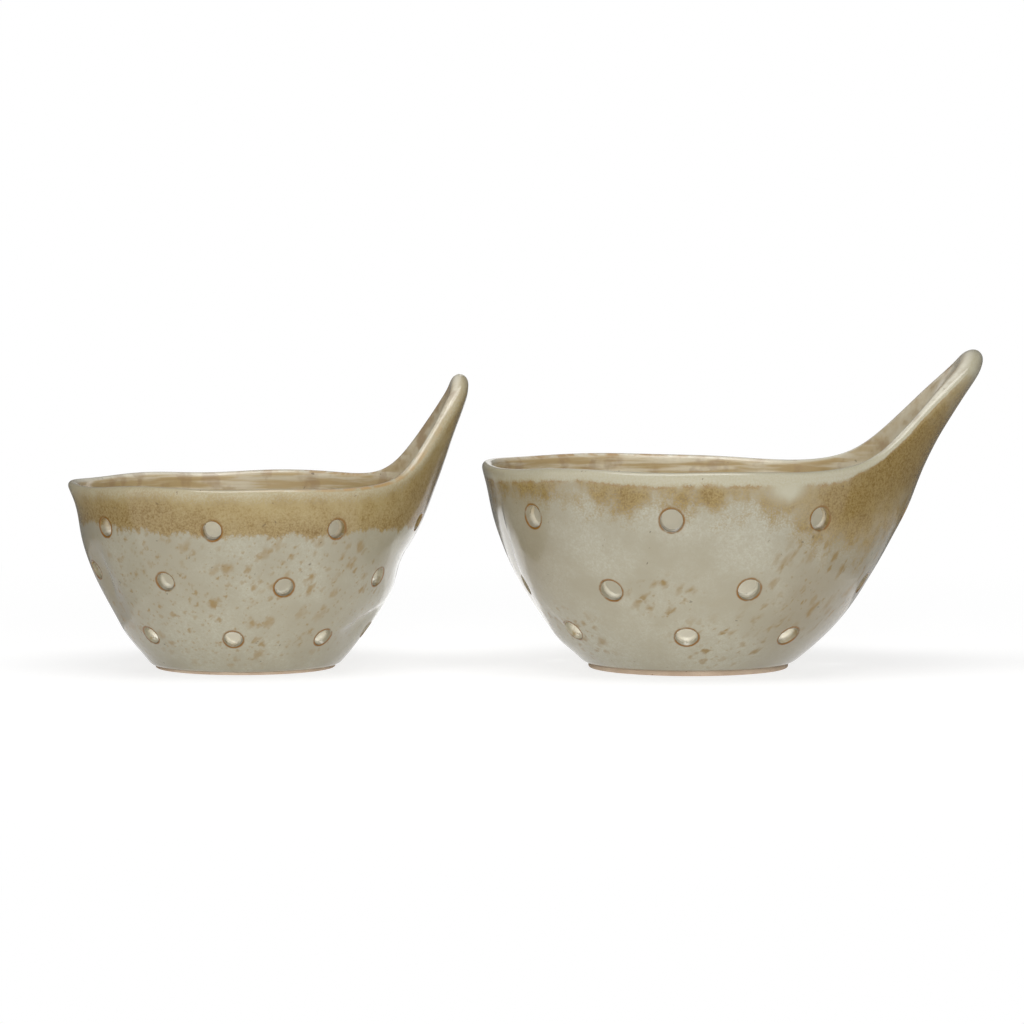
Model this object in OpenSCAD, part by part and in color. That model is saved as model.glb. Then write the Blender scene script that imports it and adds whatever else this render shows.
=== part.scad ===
// Two stoneware berry bowls that stand side by side, a small one and a large one.
// Each bowl is a round floor slab with drain holes, a hand-formed pierced wall that stands on the
// slab's ledge, and a tongue handle that is let into the raised part of the wall's rim.
// Millimetres, +Z up. The set stands on z = 0, centred on the origin, with its handles towards +X.

/* [Large bowl] */
// Diameter of the bare foot
large_foot_d = 80; // [74:1:86]
// Height of the bare foot below the wall
large_foot_h = 2; // [1.5:0.5:3]
// Reach of the rim from the bowl's axis, away from the handle
large_rim_back = 81.5; // [77:0.5:87]
// Reach of the rim from the bowl's axis, under the handle
large_rim_front = 81.5; // [77:0.5:87]
// Width of the rim, across the handle's direction
large_rim_w = 152; // [144:1:162]
// Height of the plain rim
large_rim_h = 81.5; // [76:0.5:88]
// Reach of the handle's outer face from the bowl's axis, at the height of its tip
large_tip_reach = 123.5; // [117:0.5:129]
// Height of the handle's tip
large_tip_h = 127; // [120:1:134]
// Thickness of the handle at its tip
large_tip_t = 10.5; // [8:0.5:12]
// Half of the angle that the handle's root takes up
large_root_half = 31; // [28:1:34]
// Diameter of the drain holes
large_hole_d = 9.5; // [8:0.5:11]
// Height of the lowest row of drain holes
large_low_row_h = 16.5; // [15:0.5:18]
// Height of the middle row of drain holes
large_mid_row_h = 35; // [33:0.5:38]
// Distance of the top row of drain holes below the rim
large_top_row_drop = 18.5; // [17:0.5:22]
// Drain holes in the low, middle and top rows
large_row_counts = [7, 7, 8]; // [5:1:9]
// Angle that the bowl is turned by where it stands
large_turn = 0; // [-10:1:10]

/* [Small bowl] */
// Diameter of the bare foot
small_foot_d = 72; // [66:1:78]
// Height of the bare foot below the wall
small_foot_h = 1.2; // [1:0.1:2]
// Reach of the rim from the bowl's axis, away from the handle
small_rim_back = 69; // [65:0.5:74]
// Reach of the rim from the bowl's axis, under the handle
small_rim_front = 68.5; // [65:0.5:74]
// Width of the rim, across the handle's direction
small_rim_w = 133; // [126:1:142]
// Height of the plain rim
small_rim_h = 74.5; // [70:0.5:80]
// Reach of the handle's outer face from the bowl's axis, at the height of its tip
small_tip_reach = 93; // [88:0.5:98]
// Height of the handle's tip
small_tip_h = 117; // [111:1:123]
// Thickness of the handle at its tip
small_tip_t = 8; // [6.5:0.5:9]
// Half of the angle that the handle's root takes up
small_root_half = 28; // [25:1:31]
// Diameter of the drain holes
small_hole_d = 8; // [7:0.5:9.5]
// Height of the lowest row of drain holes
small_low_row_h = 15; // [14:0.5:17]
// Height of the middle row of drain holes
small_mid_row_h = 38; // [35:0.5:41]
// Distance of the top row of drain holes below the rim
small_top_row_drop = 16; // [14:0.5:19]
// Drain holes in the low, middle and top rows
small_row_counts = [8, 8, 8]; // [5:1:9]
// Angle that the bowl is turned by where it stands
small_turn = 6; // [-10:1:10]

/* [Clay] */
// Thickness of the walls
wall_t = 5; // [4:0.5:6]
// Thickness of the floor slabs
floor_t = 7; // [6:0.5:8]
// Distance that the wall stands out past the foot
foot_lap = 1.5; // [1:0.5:3]
// Width of the ledge that the wall stands on
ledge_w = 5; // [4:0.5:6]
// Height of the hollow between floor and wall
cove_h = 8; // [6:0.5:10]
// Depth that the handle's root is let into the rim
let_in = 2; // [1.5:0.5:3]
// Height of the rim's waves
rim_wave = 0.8; // [0:0.1:1.2]
// Slip joint between floor slab and wall
slip_gap = 0.15; // [0.1:0.05:0.3]
// Drain holes in the ring round the middle one of a floor
floor_ring_count = 6; // [4:1:7]
// Room between the two bowls
bowl_gap = 5; // [3:0.5:40]

/* [Hidden] */

glaze_cream = [0.67, 0.65, 0.57];
glaze_honey = [0.58, 0.48, 0.31];
clay_bare = [0.62, 0.54, 0.45];

// Places of a bowl's sizes in its list
FOOT_D = 0;
RIM_BACK = 1;
RIM_FRONT = 2;
RIM_W = 3;
RIM_H = 4;
TIP_REACH = 5;
TIP_H = 6;
TIP_T = 7;
ROOT_HALF = 8;
HOLE_D = 9;
ROWS = 10;
TURN = 11;
SWELL = 12;
LEAN = 13;
DENTS = 14;
LIFTS = 15;
FOOT_H = 16;

// Places of a row's values: height, count, azimuth of the first hole, sway in degrees, lift in millimetres,
// and an extra turn for its second hole
ROW_Z = 0;
ROW_COUNT = 1;
ROW_FIRST = 2;
ROW_SWAY = 3;
ROW_LIFT = 4;
ROW_SECOND = 5;

large_rows = [
    [large_low_row_h, large_row_counts[0], -148.6, 2.4, 0.6, 4],
    [large_mid_row_h, large_row_counts[1], -170.4, 4.7, -0.8, 0],
    [large_rim_h - large_top_row_drop, large_row_counts[2], -142.5, -1, 0, 0]
];
small_rows = [
    [small_low_row_h, small_row_counts[0], -143, 0, 0.3, 0],
    [small_mid_row_h, small_row_counts[1], -168.5, -1, 2, 0],
    [small_rim_h - small_top_row_drop, small_row_counts[2], -148.5, 1, 0, 0]
];

// Places of a dent's values. A depth below 0 stands out, and the half-width is an angle.
DENT_A = 0;
DENT_Z = 1;
DENT_DEPTH = 2;
DENT_HALF_W = 3;
DENT_HALF_H = 4;

large_dents = [
    [180, 82, -1.6, 40, 7],
    [-172, 47, 2, 13, 20],
    [-150, 34, -0.9, 14, 18],
    [-12, 30, 1.2, 14, 12],
    [75, 40, 1.6, 22, 18],
    [128, 52, 1.4, 18, 16],
    [0, 65, -0.9, 24, 11],
    [0, 127, 4, 40, 7],
    [180, 12, -1.2, 40, 6]
];
small_dents = [
    [180, 76, -2.4, 24, 7],
    [-160, 36, 2.2, 9, 13],
    [-26, 18, 2.6, 15, 9],
    [70, 42, 1.5, 20, 16],
    [135, 30, 1.2, 18, 14],
    [174, 62, 1, 30, 9],
    [-6, 41, 1.5, 20, 7],
    [0, 117, 2.4, 40, 6],
    [174, 13, -1, 40, 7]
];

// Places of a lift's values: each raises or lowers a stretch of the rim round an azimuth
LIFT_A = 0;
LIFT_H = 1;
LIFT_HALF_W = 2;

large_lifts = [[160, 0.9, 30], [105, 1.5, 22], [62, -1.7, 24]];
small_lifts = [[100, 1.2, 40], [55, 0.6, 14]];

// Fullness of the wall's curve away from and under the handle
large_swell = [2.2, 2.75];
small_swell = [1.9, 2.3];
// Height where the wall starts to lean out under the handle, power of that lean, and its half-angle
large_lean = [35, 1.72, 34];
small_lean = [46, 1.08, 30];

LARGE = [
    large_foot_d, large_rim_back, large_rim_front, large_rim_w, large_rim_h, large_tip_reach, large_tip_h,
    large_tip_t, large_root_half, large_hole_d, large_rows, large_turn, large_swell, large_lean, large_dents,
    large_lifts, large_foot_h
];
SMALL = [
    small_foot_d, small_rim_back, small_rim_front, small_rim_w, small_rim_h, small_tip_reach, small_tip_h,
    small_tip_t, small_root_half, small_hole_d, small_rows, small_turn, small_swell, small_lean, small_dents,
    small_lifts, small_foot_h
];

// Two waves of the rim: how many of each go round, and where each starts
wave_counts = [4, 7];
wave_starts = [210, 290];
// Ratio of the handle's root to the half-angle at which its edge has dropped to 1 / e
root_ratio = 1.46;
// Columns round the wall, outside the handle and across it, and the gap between them at its ends
wall_columns = 54;
root_columns = 16;
end_step = 0.4;
// Points up the outside, over the lip, down the inside and down the cove
outer_rows = 12;
lip_rows = 4;
inner_rows = 8;
cove_rows = 4;
handle_rows = 9;
// Step for measuring how steep the wall is
slope_step = 0.5;
// Share of the handle's own height that its lip may take
lip_share = 0.7;
// Ring of the floor's drain holes, as a share of the slab's plug
floor_ring_share = 0.6;
// Turn of a row's sway and lift from one hole to the next
sway_step = 90;
// Length of a wall hole's cut in wall thicknesses, and overrun of a floor hole's cut
cut_walls = 4;
cut_over = 1;
round_fn = 64;
skin_convexity = 8;

// Azimuth from -180 to 180
function wrapped(a) = (a + 540) % 360 - 180;

// 1 at azimuth 0, falling off like a bell
function bell(a, half) = exp(-pow(wrapped(a) / half, 2));

function foot_r(b) = b[FOOT_D] / 2;
function plug_r(b) = foot_r(b) - ledge_w;

// Reach of the plain rim at an azimuth
function rim_reach(b, a) =
    let (along = cos(a) < 0 ? b[RIM_BACK] : b[RIM_FRONT])
    1 / sqrt(pow(cos(a) / along, 2) + pow(2 * sin(a) / b[RIM_W], 2));

// Waves of the rim, which die out under the handle
function wave(b, a) =
    let (both = [for (k = [0:1]) sin(wave_counts[k] * a + wave_starts[k])])
    rim_wave * (both[0] + both[1]) / 2 * (1 - bell(a, b[ROOT_HALF] * root_ratio));

function lift_at(b, a, k = 0) =
    k == len(b[LIFTS]) ? 0 :
    let (l = b[LIFTS][k])
    l[LIFT_H] * bell(a - l[LIFT_A], l[LIFT_HALF_W]) + lift_at(b, a, k + 1);

// Height of the rim, with the handle's outline in it
function rim_z(b, a) =
    b[RIM_H] + wave(b, a) + lift_at(b, a) + (b[TIP_H] - b[RIM_H]) * bell(a, b[ROOT_HALF] / root_ratio);

// Flat seat of the handle
function seat_z(b) = rim_z(b, b[ROOT_HALF]) - let_in;

function dent_at(b, a, z, k = 0) =
    k == len(b[DENTS]) ? 0 :
    let (d = b[DENTS][k], fall = exp(-pow((z - d[DENT_Z]) / d[DENT_HALF_H], 2)))
    d[DENT_DEPTH] * bell(a - d[DENT_A], d[DENT_HALF_W]) * fall + dent_at(b, a, z, k + 1);

// Dents are left off the foot, which stays round
function foot_fade(b, z) = min(max((z - b[FOOT_H]) / cove_h, 0), 1);

// Radius of the outside at an azimuth and a height
function outer_r(b, a, z) =
    let (
        base = foot_r(b) + foot_lap,
        climb = min(max((z - b[FOOT_H]) / (b[RIM_H] - b[FOOT_H]), 0), 1),
        fullness = b[SWELL][1] + (b[SWELL][0] - b[SWELL][1]) * (1 - cos(a)) / 2,
        lean_climb = max(z - b[LEAN][0], 0) / (b[TIP_H] - b[LEAN][0]),
        lean = (b[TIP_REACH] - b[RIM_FRONT]) * pow(lean_climb, b[LEAN][1])
    )
    base + (rim_reach(b, a) - base) * (1 - pow(1 - climb, fullness))
        + lean * bell(a, b[LEAN][2]) - dent_at(b, a, z) * foot_fade(b, z);

// How much the radius gains for each millimetre of height
function slope(b, a, z) = (outer_r(b, a, z + slope_step) - outer_r(b, a, z)) / slope_step;

// Thickness, which grows up the handle
function thick(b, a, z) =
    let (climb = min(max((z - b[RIM_H]) / (b[TIP_H] - b[RIM_H]), 0), 1))
    wall_t + (b[TIP_T] - wall_t) * climb;

// Radius of the inside at an azimuth and a height
function inner_r(b, a, z) = outer_r(b, a, z) - thick(b, a, z) * sqrt(1 + pow(slope(b, a, z), 2));

function polar(a, r, z) = [r * cos(a), r * sin(a), z];

// Points over the lip at one azimuth, from the outside in, on a rise of a given height
function lip_points(b, a, edge, rise) =
    let (
        out = outer_r(b, a, edge),
        in = inner_r(b, a, edge),
        lean = slope(b, a, edge)
    )
    [for (k = [1:lip_rows - 1])
        let (t = 180 * k / lip_rows)
        polar(a, (out + in) / 2 + (out - in) / 2 * cos(t) + lean * rise * sin(t), edge + rise * sin(t))];

// Cove from the inside of the wall down to the floor
function cove_points(b, a) =
    let (
        z = floor_t + cove_h,
        from = [inner_r(b, a, z), z],
        bend = [inner_r(b, a, z) - slope(b, a, z) * cove_h, floor_t],
        to = [bore_r(b), floor_t]
    )
    [for (k = [1:cove_rows])
        let (t = k / cove_rows, p = pow(1 - t, 2) * from + 2 * t * (1 - t) * bend + t * t * to)
        polar(a, p[0], p[1])];

// Corner radius of the wall's many-sided bore, whose flats clear the plug by the slip joint
function bore_r(b) = (plug_r(b) + slip_gap) / cos(180 / wall_columns);

// Section of the wall at one azimuth: up the outside, over the lip, down the inside to the ledge
function wall_column(b, a, seated) =
    let (
        top = seated ? seat_z(b) : rim_z(b, a),
        rise = seated ? 0 : thick(b, a, top) / 2,
        edge = top - rise,
        low = floor_t + cove_h
    )
    concat(
        [for (k = [0:outer_rows])
            let (z = b[FOOT_H] + (edge - b[FOOT_H]) * k / outer_rows)
            polar(a, outer_r(b, a, z), z)],
        lip_points(b, a, edge, rise),
        [for (k = [0:inner_rows])
            let (z = edge + (low - edge) * k / inner_rows)
            polar(a, inner_r(b, a, z), z)],
        cove_points(b, a),
        [polar(a, bore_r(b), b[FOOT_H])]
    );

// Section of the handle at one azimuth, from its seat over the lip and back
function handle_column(b, a) =
    let (
        seat = seat_z(b),
        top = rim_z(b, a),
        rise = min(thick(b, a, top) / 2, lip_share * (top - seat)),
        edge = top - rise
    )
    concat(
        [for (k = [0:handle_rows])
            let (z = seat + (edge - seat) * k / handle_rows)
            polar(a, outer_r(b, a, z), z)],
        lip_points(b, a, edge, rise),
        [for (k = [0:handle_rows])
            let (z = edge + (seat - edge) * k / handle_rows)
            polar(a, inner_r(b, a, z), z)]
    );

function root_azimuths(b) =
    [for (k = [0:root_columns]) b[ROOT_HALF] * (2 * k / root_columns - 1)];

function plain_azimuths(b) =
    let (first = b[ROOT_HALF] + end_step, last = 360 - first)
    [for (k = [0:wall_columns]) first + (last - first) * k / wall_columns];

function wall_columns_of(b) =
    concat(
        [for (a = root_azimuths(b)) wall_column(b, a, true)],
        [for (a = plain_azimuths(b)) wall_column(b, a, false)]
    );

function handle_columns_of(b) = [for (a = root_azimuths(b)) handle_column(b, a)];

// Two triangles for each cell between one column of points and the next
function skin_faces(columns, rows, closed) =
    [for (i = [0:columns - (closed ? 1 : 2)], k = [0:rows - 1])
        let (
            j = (i + 1) % columns,
            m = (k + 1) % rows
        )
        each [
            [i * rows + k, i * rows + m, j * rows + m],
            [i * rows + k, j * rows + m, j * rows + k]
        ]];

// Solid between columns of points, each column a closed section. An open run is capped at its ends.
module skin(columns, closed) {
    rows = len(columns[0]);
    first = [for (k = [rows - 1:-1:0]) k];
    last = [for (k = [0:rows - 1]) (len(columns) - 1) * rows + k];
    polyhedron(
        points = [for (c = columns) each c],
        faces = concat(skin_faces(len(columns), rows, closed), closed ? [] : [first, last]),
        convexity = skin_convexity
    );
}

// Azimuth and height of one hole of a row. Hand-punched rows sway a little.
function hole_azimuth(row, k) =
    row[ROW_FIRST] + 360 * k / row[ROW_COUNT] + row[ROW_SWAY] * cos(sway_step * k) + (k == 1 ? row[ROW_SECOND] : 0);
function hole_z(row, k) = row[ROW_Z] + row[ROW_LIFT] * cos(sway_step * k);

// Cuts of the drain holes, square to the wall
module wall_holes(b) {
    for (row = b[ROWS], k = [0:row[ROW_COUNT] - 1]) {
        a = hole_azimuth(row, k);
        z = hole_z(row, k);
        translate(polar(a, outer_r(b, a, z), z))
            rotate([0, 90 + atan(slope(b, a, z)), a])
                cylinder(d = b[HOLE_D], h = cut_walls * wall_t, center = true, $fn = round_fn);
    }
}

module wall(b) {
    difference() {
        skin(wall_columns_of(b), true);
        wall_holes(b);
    }
}

// Foot and plug of the floor slab in one piece, with one drain hole in the middle and a ring round it
module floor_slab(b) {
    difference() {
        union() {
            cylinder(r = foot_r(b), h = b[FOOT_H], $fn = round_fn);
            cylinder(r = plug_r(b), h = floor_t, $fn = round_fn);
        }
        floor_hole(b, 0, 0);
        for (k = [0:floor_ring_count - 1])
            floor_hole(b, plug_r(b) * floor_ring_share, 360 * k / floor_ring_count);
    }
}

module floor_hole(b, r, a) {
    translate(polar(a, r, -cut_over))
        cylinder(d = b[HOLE_D], h = floor_t + 2 * cut_over, $fn = round_fn);
}

// Lowest or highest reach of a turned bowl along X (axis 0) or Y (axis 1)
function turned(p, angle) =
    [p[0] * cos(angle) - p[1] * sin(angle), p[0] * sin(angle) + p[1] * cos(angle)];
function reach_list(b, axis) =
    [for (c = concat(wall_columns_of(b), handle_columns_of(b)), p = c) turned(p, b[TURN])[axis]];
function low_reach(b, axis) = min(reach_list(b, axis));
function high_reach(b, axis) = max(reach_list(b, axis));
function length_of(b) = high_reach(b, 0) - low_reach(b, 0);

// The bowls' axes stand on one line along X, and the whole set is centred on the origin
set_length = length_of(SMALL) + bowl_gap + length_of(LARGE);
small_x = -set_length / 2 - low_reach(SMALL, 0);
large_x = set_length / 2 - high_reach(LARGE, 0);
set_low_y = min(low_reach(SMALL, 1), low_reach(LARGE, 1));
set_high_y = max(high_reach(SMALL, 1), high_reach(LARGE, 1));
set_y = -(set_low_y + set_high_y) / 2;

module place_large() {
    translate([large_x, set_y, 0])
        rotate([0, 0, large_turn])
            children();
}

module place_small() {
    translate([small_x, set_y, 0])
        rotate([0, 0, small_turn])
            children();
}

module large_wall() {
    color(glaze_cream)
        place_large()
            wall(LARGE);
}

module large_floor() {
    color(clay_bare)
        place_large()
            floor_slab(LARGE);
}

module large_handle() {
    color(glaze_cream)
        place_large()
            skin(handle_columns_of(LARGE), false);
}

module small_wall() {
    color(glaze_cream)
        place_small()
            wall(SMALL);
}

module small_floor() {
    color(clay_bare)
        place_small()
            floor_slab(SMALL);
}

module small_handle() {
    color(glaze_honey)
        place_small()
            skin(handle_columns_of(SMALL), false);
}

large_wall();
large_floor();
large_handle();
small_wall();
small_floor();
small_handle();
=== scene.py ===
from math import atan2, cos, degrees, hypot, pi, radians, sin, sqrt

import bmesh
import bpy
import numpy as np
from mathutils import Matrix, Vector, noise
from mathutils.bvhtree import BVHTree


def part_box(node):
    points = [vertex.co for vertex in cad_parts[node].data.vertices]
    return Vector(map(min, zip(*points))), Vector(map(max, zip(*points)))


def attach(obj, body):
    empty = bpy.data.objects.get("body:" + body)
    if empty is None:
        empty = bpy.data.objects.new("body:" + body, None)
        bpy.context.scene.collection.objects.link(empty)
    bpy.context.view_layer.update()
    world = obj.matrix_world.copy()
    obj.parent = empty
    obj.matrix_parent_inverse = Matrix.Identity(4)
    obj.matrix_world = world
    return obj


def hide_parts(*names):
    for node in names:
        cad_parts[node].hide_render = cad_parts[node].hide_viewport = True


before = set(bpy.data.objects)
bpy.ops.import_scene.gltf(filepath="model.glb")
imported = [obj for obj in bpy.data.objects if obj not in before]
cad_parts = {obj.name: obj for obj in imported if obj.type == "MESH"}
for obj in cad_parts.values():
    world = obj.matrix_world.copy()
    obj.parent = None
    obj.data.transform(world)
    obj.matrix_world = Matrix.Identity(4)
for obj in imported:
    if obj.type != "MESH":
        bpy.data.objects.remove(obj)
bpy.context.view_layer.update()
mm = 0.001  # the clay is worked in millimetres and scaled last
print("frame loaded:", sorted(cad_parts))


def addObject(name, data):
    made = bpy.data.objects.new(name, data)
    bpy.context.scene.collection.objects.link(made)
    return made


def newMesh(name, points, faces=()):
    mesh = bpy.data.meshes.new(name)
    mesh.from_pydata(points, [], faces)
    return mesh


def facing(place, target):
    return (Vector(target) - Vector(place)).to_track_quat("-Z", "Y").to_euler()


# Camera: product shot from a little above the rims, in millimetres, with its clip distances in metres
camera = {
    "eye": (-5.3, -1600.0, 157.0), "aim": (-5.3, 0.0, 62.0), "frameWidth": 409.6, "sensor": 36.0,
    "clip": (0.05, 20.0),
}
eye, aim = Vector(camera["eye"]) * mm, Vector(camera["aim"]) * mm
camData = bpy.data.cameras.new("photoCamera")
camData.sensor_width = camera["sensor"]
camData.lens = camera["sensor"] * (aim - eye).length / (camera["frameWidth"] * mm)
camData.clip_start, camData.clip_end = camera["clip"]
camObject = addObject("photoCamera", camData)
camObject.location = eye
camObject.rotation_euler = facing(eye, aim)
bpy.context.scene.camera = camObject

# Clay sizes that both bowls share
clay = {
    "wall": 5.0, "floor": 7.0, "lap": 1.5, "ledge": 5.0, "cove": 8.0, "letIn": 2.0,
    "rimWave": 0.8, "waveCounts": (4, 7), "waveStarts": (210, 290), "rootRatio": 1.46,
    "underRound": 1.3, "footRound": 0.7, "holeRound": 0.35,
    "pressLeast": 0.1, "pressDepth": 0.45, "pressSize": 17.0, "pressShift": (1.0, 0.37, 0.0),
    "foldSharp": 1.1, "foldWide": 8.0,
    "boreShare": 0.35,  # of the outside below the cove's top, set against the straight bore
}

# Each row of holes: height, count, azimuth of the first, sway in degrees, lift, extra turn of the second
# Each dent: azimuth, height, depth, half-width in degrees, half-height
# Each lift of the rim: azimuth, height, half-width in degrees
# Each fold: azimuth, height, slant of its pressed side in degrees, depth, half-length
largeBowl = {
    "name": "large", "handleSlot": "cream_glaze", "foot": 2.0, "back": 81.5, "front": 81.5,
    "width": 152.0, "rim": 81.5, "tipReach": 123.5, "tipThick": 10.5, "rootHalf": 31.0, "hole": 9.5,
    "turn": 0.0, "swell": (2.2, 2.75), "lean": (35.0, 1.72, 34.0), "collar": 70.5,
    "rows": [(16.5, 7, -148.6, 2.4, 0.6, 4.0), (35.0, 7, -170.4, 4.7, -0.8, 0.0),
             (63.0, 8, -142.5, -1.0, 0.0, 0.0)],
    "dents": [(180, 82, -1.6, 40, 7), (-172, 47, 2.0, 13, 20), (-150, 34, -0.9, 14, 18),
              (-12, 30, 1.2, 14, 12), (75, 40, 1.6, 22, 18), (128, 52, 1.4, 18, 16),
              (0, 65, -0.9, 24, 11), (0, 127, 4.0, 40, 7), (180, 12, -1.2, 40, 6)],
    "lifts": [(160, 0.9, 30), (105, 1.5, 22), (62, -1.7, 24)],
    "folds": [(-163, 49, 168, 1.0, 15), (-150, 20, 215, 0.6, 8), (150, 30, 20, 0.7, 12)],
}
smallBowl = {
    "name": "small", "handleSlot": "honey_glaze", "foot": 1.2, "back": 69.0, "front": 68.5,
    "width": 133.0, "rim": 74.5, "tipReach": 93.0, "tipThick": 8.0, "rootHalf": 28.0, "hole": 8.0,
    "turn": 6.0, "swell": (1.9, 2.3), "lean": (46.0, 1.08, 30.0), "collar": 65.5,
    "rows": [(15.0, 8, -143.0, 0.0, 0.3, 0.0), (38.0, 8, -168.5, -1.0, 2.0, 0.0),
             (58.5, 8, -148.5, 1.0, 0.0, 0.0)],
    "dents": [(180, 76, -2.4, 24, 7), (-160, 36, 2.2, 9, 13), (-26, 18, 2.6, 15, 9), (70, 42, 1.5, 20, 16),
              (135, 30, 1.2, 18, 14), (174, 62, 1.0, 30, 9), (-6, 41, 1.5, 20, 7), (0, 117, 2.4, 40, 6),
              (174, 13, -1.0, 40, 7)],
    "lifts": [(100, 1.2, 40), (55, 0.6, 14)],
    "folds": [(-29, 21, -71, 1.3, 14), (-158, 38, 160, 0.8, 9), (60, 36, 10, 0.7, 12)],
}


def readFrame(bowl):  # axis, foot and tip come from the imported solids
    low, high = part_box(bowl["name"] + "_floor")
    bowl["axis"] = ((low + high) / 2 / mm).to_2d()
    bowl["footR"] = (high.x - low.x) / 2 / mm
    bowl["tip"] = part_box(bowl["name"] + "_handle")[1].z / mm


def wrapped(a):
    return (a + 540.0) % 360.0 - 180.0


def bell(a, half):
    return np.exp(-(wrapped(a) / half) ** 2)


def rimReach(bowl, a):
    c, s = np.cos(np.radians(a)), np.sin(np.radians(a))
    along = np.where(c < 0, bowl["back"], bowl["front"])
    return 1 / np.sqrt((c / along) ** 2 + (2 * s / bowl["width"]) ** 2)


def rimHeight(bowl, a):
    waves = [np.sin(np.radians(n * a + start)) for n, start in zip(clay["waveCounts"], clay["waveStarts"])]
    calm = 1 - bell(a, bowl["rootHalf"] * clay["rootRatio"])
    tongue = (bowl["tip"] - bowl["rim"]) * bell(a, bowl["rootHalf"] / clay["rootRatio"])
    lifts = sum(height * bell(a - at, half) for at, height, half in bowl["lifts"])
    return bowl["rim"] + clay["rimWave"] * sum(waves) / 2 * calm + lifts + tongue


def outerR(bowl, a, z):
    base = bowl["footR"] + clay["lap"]
    climb = np.clip((z - bowl["foot"]) / (bowl["rim"] - bowl["foot"]), 0, 1)
    full = bowl["swell"][1] + (bowl["swell"][0] - bowl["swell"][1]) * (1 - np.cos(np.radians(a))) / 2
    leanStart, leanPower, leanHalf = bowl["lean"]
    leanClimb = np.maximum(z - leanStart, 0) / (bowl["tip"] - leanStart)
    lean = (bowl["tipReach"] - bowl["front"]) * leanClimb ** leanPower * bell(a, leanHalf)
    fade = np.clip((z - bowl["foot"]) / clay["cove"], 0, 1)
    r = base + (rimReach(bowl, a) - base) * (1 - (1 - climb) ** full) + lean
    for at, height, depth, halfWidth, halfHeight in bowl["dents"]:
        r = r - fade * depth * bell(a - at, halfWidth) * np.exp(-((z - height) / halfHeight) ** 2)
    return r


def slopeAt(bowl, a, z, step=0.5):
    return (outerR(bowl, a, z + step) - outerR(bowl, a, z)) / step


def thickAt(bowl, z):
    climb = np.clip((z - bowl["rim"]) / (bowl["tip"] - bowl["rim"]), 0, 1)
    return clay["wall"] + (bowl["tipThick"] - clay["wall"]) * climb


def innerR(bowl, a, z):
    return outerR(bowl, a, z) - thickAt(bowl, z) * np.sqrt(1 + slopeAt(bowl, a, z) ** 2)


def plugR(bowl):
    return bowl["footR"] - clay["ledge"]


def seatHeight(bowl):  # flat seat of the handle
    return float(rimHeight(bowl, bowl["rootHalf"]) - clay["letIn"])


def edgeSteepness(bowl, a, step=0.5):  # length of the rim's edge for each millimetre round
    rise = (rimHeight(bowl, a + step) - rimHeight(bowl, a - step)) / (2 * step)
    around = np.radians(1.0) * outerR(bowl, a, rimHeight(bowl, a))
    return np.sqrt(1 + (rise / around) ** 2)


def foldAt(bowl, a, z):  # creases: a sharp step that dies out on its pressed side
    total = 0.0
    for at, height, slant, depth, half in bowl["folds"]:
        sideways = np.radians(wrapped(a - at)) * outerR(bowl, float(at), float(height))
        upward = z - height
        c, s = cos(radians(slant)), sin(radians(slant))
        across, along = sideways * c + upward * s, upward * c - sideways * s
        step = (1 + np.tanh(across / clay["foldSharp"])) / 2
        fade = np.exp(-(np.maximum(across, 0) / clay["foldWide"]) ** 2)
        total = total + depth * step * fade * np.exp(-(along / half) ** 2)
    return total


def handPress(points, seed):  # shallow finger presses, 0 to 1
    shift = Vector([seed * share for share in clay["pressShift"]])
    return np.array([0.5 + 0.5 * noise.noise(Vector(p) / clay["pressSize"] + shift) for p in points])


# Straight clay collar that gets punched before it is pressed into shape
collar = {
    "radius": 70.0, "columns": 320, "lowStep": 1.6, "footRows": 5, "upperRows": 26, "lipRows": 9,
    "lipShare": 0.3,
}


def collarHeights(bowl):
    foot, under, top, footRows = bowl["foot"], clay["underRound"], bowl["collar"], collar["footRows"]
    curl = [foot + under * (1 - cos(pi / 2 * k / footRows)) for k in range(footRows)]
    count = round((top - foot - under) / collar["lowStep"])
    low = list(np.linspace(foot + under, top, count + 1))
    lipStart = bowl["rim"] - (bowl["rim"] - top) * collar["lipShare"]
    upper = list(np.linspace(top, lipStart, collar["upperRows"] + 1))[1:]
    lip = list(np.linspace(lipStart, bowl["rim"], collar["lipRows"] + 1))[1:]
    return np.array(curl + low + upper + lip)


def collarMesh(bowl):
    heights = collarHeights(bowl)
    n, m = collar["columns"], len(heights)
    turn = np.arange(n) * 2 * np.pi / n
    points = []
    for radius, levels in ((collar["radius"], heights), (collar["radius"] - clay["wall"], heights[::-1])):
        grid = np.empty((n, m, 3))
        grid[..., 0] = radius * np.cos(turn)[:, None]
        grid[..., 1] = radius * np.sin(turn)[:, None]
        grid[..., 2] = levels[None, :]
        points.append(grid)
    points = np.concatenate(points, axis=1)  # each column goes up the outside and down the inside
    ring = 2 * m
    i, k = np.meshgrid(np.arange(n), np.arange(ring), indexing="ij")
    j, h = (i + 1) % n, (k + 1) % ring
    faces = np.stack([i * ring + k, j * ring + k, j * ring + h, i * ring + h], -1).reshape(-1, 4)
    return newMesh(bowl["name"] + "Collar", points.reshape(-1, 3), faces.tolist())


def holePlaces(bowl):  # azimuth, height of each punched hole
    return [(first + 360 * k / count + sway * cos(pi / 2 * k) + (second if k == 1 else 0.0),
             height + lift * cos(pi / 2 * k))
            for height, count, first, sway, lift, second in bowl["rows"] for k in range(count)]


def markMesh(name, marks):  # one vertex with a punch scale for each hole
    mesh = newMesh(name, [place for place, scale in marks])
    setPointValues(mesh, "punchScale", [scale for place, scale in marks], "FLOAT_VECTOR")
    return mesh


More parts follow.
